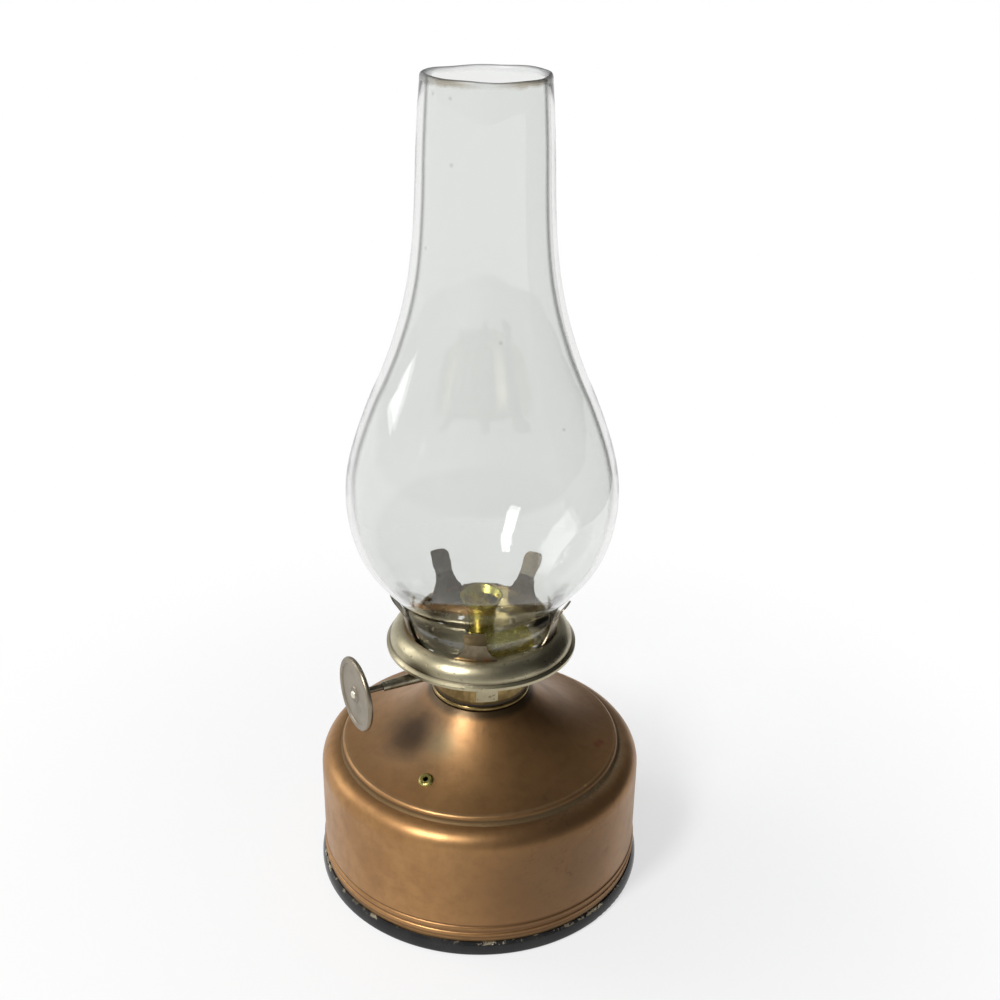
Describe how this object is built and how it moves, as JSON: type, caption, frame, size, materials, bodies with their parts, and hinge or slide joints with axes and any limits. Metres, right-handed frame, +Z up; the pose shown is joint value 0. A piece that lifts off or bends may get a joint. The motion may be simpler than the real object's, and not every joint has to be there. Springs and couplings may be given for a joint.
{
  "type": "oil lamp",
  "caption": "Small oil lamp for a toy magic lantern: round font on a rimmed base, screw burner with a spring-pronged gallery, knob wick raiser and lift-off glass chimney.",
  "frame": {"origin": "centre of the base, on the surface that the lamp stands on", "axes": "+Z up along the lamp's axis, -Y the pictured front, +X the picture's right"},
  "size_m": [0.07, 0.07, 0.1675],
  "materials": {
    "copper_lacquer": "satin copper-bronze lacquer on sheet metal",
    "black_tin": "gloss black lacquered tin, worn on the rim",
    "brass": "tarnished brass",
    "tube_brass": "greenish bright brass",
    "nickel_plate": "warm dull nickel plate",
    "raiser_steel": "satin grey plated steel",
    "seal_leather": "dark oiled leather",
    "cotton": "round cotton cord",
    "clear_glass": "clear blown glass, fire-polished rim"
  },
  "bodies": {
    "font": {"font_shell": "copper_lacquer", "base_plate": "black_tin", "collar": "brass", "vent_eyelet": "brass"},
    "seal": {"burner_seal": "seal_leather"},
    "burner": {"burner_cup": "brass", "gallery_floor": "nickel_plate", "gallery_ring": "nickel_plate", "prong_1": "nickel_plate", "prong_2": "nickel_plate", "prong_3": "nickel_plate", "prong_4": "nickel_plate", "prong_5": "nickel_plate", "gallery_leg_1": "nickel_plate", "gallery_leg_2": "nickel_plate", "gallery_leg_3": "nickel_plate", "wick_tube": "tube_brass", "wick_guide": "tube_brass", "wheel_cover": "tube_brass", "shaft_sleeve": "nickel_plate"},
    "raiser": {"wick_shaft": "raiser_steel", "spur_wheel": "tube_brass", "wick_knob": "raiser_steel"},
    "wick": {"wick": "cotton"},
    "chimney": {"chimney": "clear_glass"}
  },
  "joints": [
    {"name": "burner_turn", "type": "hinge", "parent": "font", "child": "seal", "pos_m": [0, 0, 0.0439], "axis": [0, 0, 1], "range_deg": [0, 1440]},
    {"name": "burner_rise", "type": "slide", "parent": "seal", "child": "burner", "axis": [0, 0, 1], "range_m": [0, 0.00601]},
    {"name": "knob_turn", "type": "hinge", "parent": "burner", "child": "raiser", "pos_m": [0.00185, -0.00343, 0.0513], "axis": [0.8796, 0.4756, 0], "range_deg": [-125, 190]},
    {"name": "wick_raise", "type": "slide", "parent": "burner", "child": "wick", "axis": [0, 0, 1], "range_m": [-0.0045, 0.0068]},
    {"name": "chimney_lift", "type": "slide", "parent": "burner", "child": "chimney", "axis": [0, 0, 1], "range_m": [0, 0.03]}
  ],
  "couplings": [
    {"joint": "burner_rise", "follows": "burner_turn", "m_per_rad": 0.00023873},
    {"joint": "wick_raise", "follows": "knob_turn", "m_per_rad": 0.002}
  ]
}
